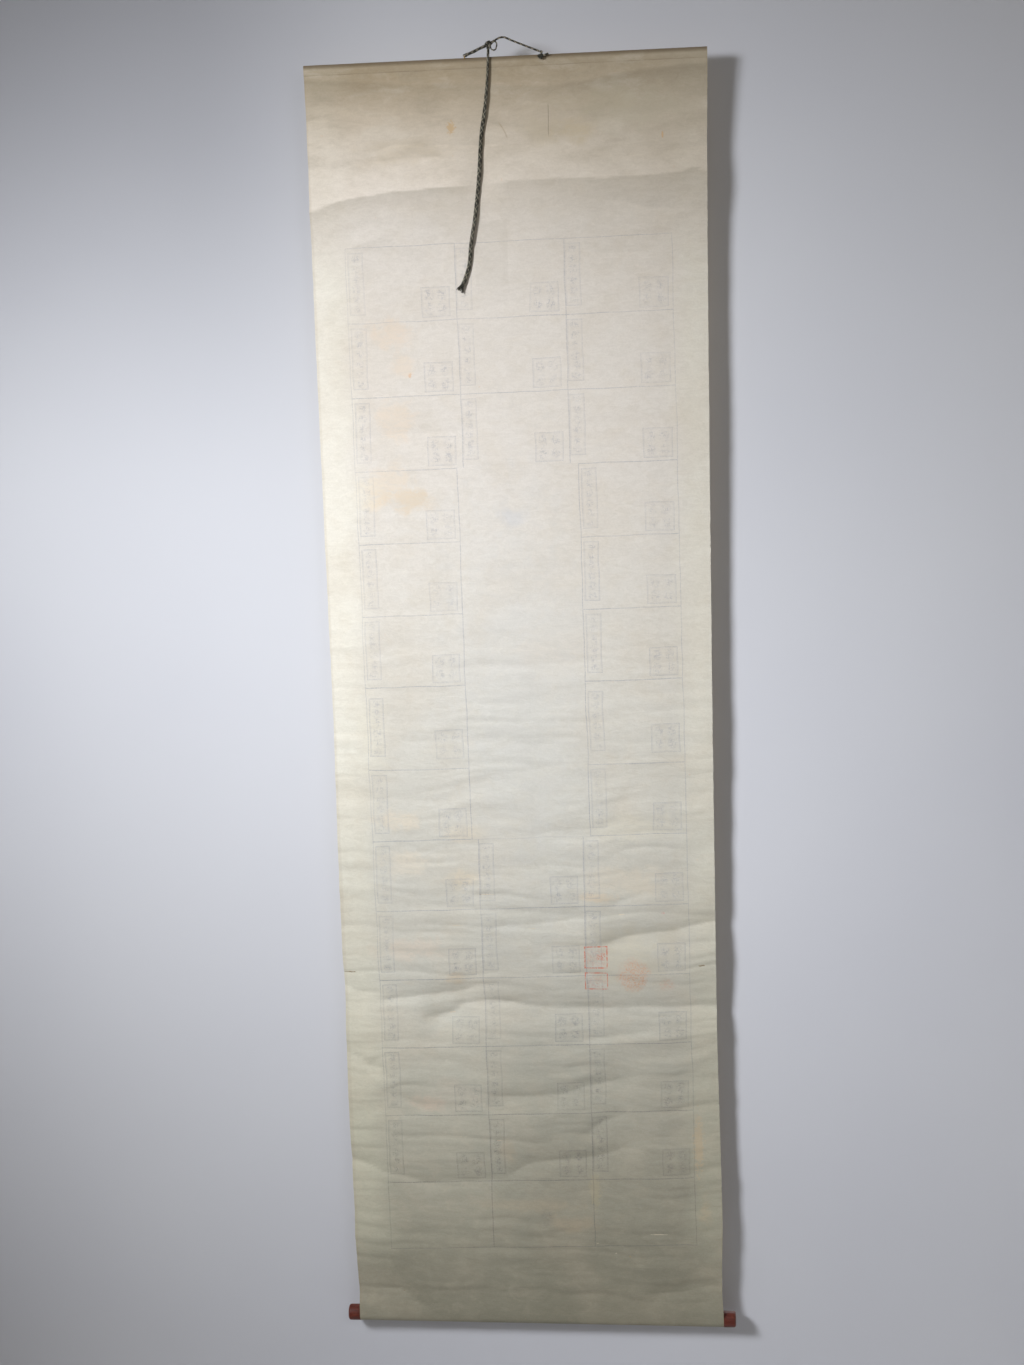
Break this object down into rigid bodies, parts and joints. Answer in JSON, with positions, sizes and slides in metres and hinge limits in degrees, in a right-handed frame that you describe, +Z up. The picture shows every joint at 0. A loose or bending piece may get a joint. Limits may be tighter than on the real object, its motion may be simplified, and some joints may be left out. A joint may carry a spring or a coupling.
{
  "type": "paper scroll",
  "caption": "Tall hanging paper scroll seen from its back: sheet on a hemmed top stave and a bottom roller with end knobs, hung on a braided cord, with a loose tie cord.",
  "frame": {"origin": "the point where a wall hook bears under the middle of the hanging cord", "axes": "+X across the scroll to the right of one who looks at its back, +Y towards the wall and the picture side, +Z up"},
  "size_m": [0.6182, 0.0335, 1.9688],
  "materials": {
    "aged_paper": "matte, aged and lightly creased",
    "pale_wood": "plain planed softwood",
    "dark_lacquered_wood": "dark red-brown, worn satin",
    "aged_brass": "dull, darkened with age",
    "olive_braid": "dark braid with pale flecks"
  },
  "bodies": {
    "root": {"scroll_sheet": "aged_paper", "top_stave": "pale_wood", "bottom_roller": "pale_wood", "roller_knob_left": "dark_lacquered_wood", "roller_knob_right": "dark_lacquered_wood", "eyelet_left": "aged_brass", "eyelet_right": "aged_brass", "hanging_cord": "olive_braid", "hanging_knot_left": "olive_braid", "hanging_knot_right": "olive_braid", "tie_knot": "olive_braid", "tie_cord": "olive_braid", "tie_tuft": "olive_braid"}
  },
  "joints": []
}
